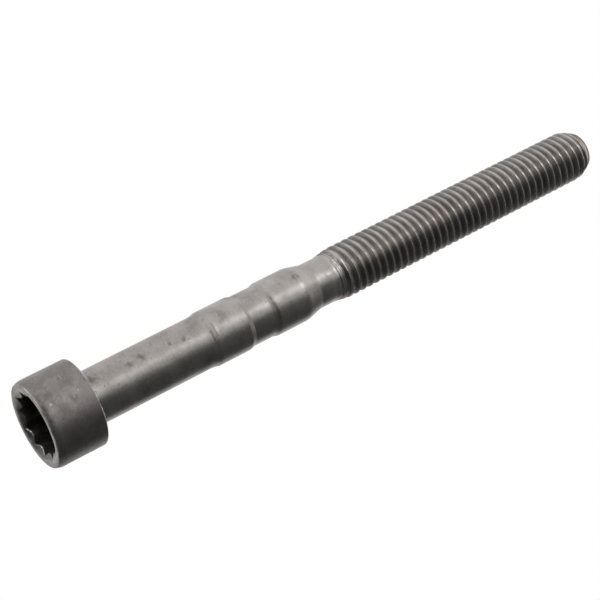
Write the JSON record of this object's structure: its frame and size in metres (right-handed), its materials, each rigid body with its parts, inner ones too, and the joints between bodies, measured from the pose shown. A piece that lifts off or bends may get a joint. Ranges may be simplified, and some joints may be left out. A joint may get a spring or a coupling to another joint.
{
  "type": "close-tolerance bolt",
  "caption": "Long cylindrical-head steel bolt with a multi-point key socket, ground locating collars on a plain shank, a relieved neck and a metric thread to its tip.",
  "frame": {"origin": "centre of the head's flat face, on the bolt's axis", "axes": "+Z along the axis from the head to the tip, +X through one of the socket's points; the bolt stands on its head"},
  "size_m": [0.0128, 0.0128, 0.0973],
  "materials": {
    "dark_steel": "dark phosphated and oiled steel with rubbed edges and crests"
  },
  "bodies": {
    "root": {"bolt": "dark_steel"}
  },
  "joints": []
}
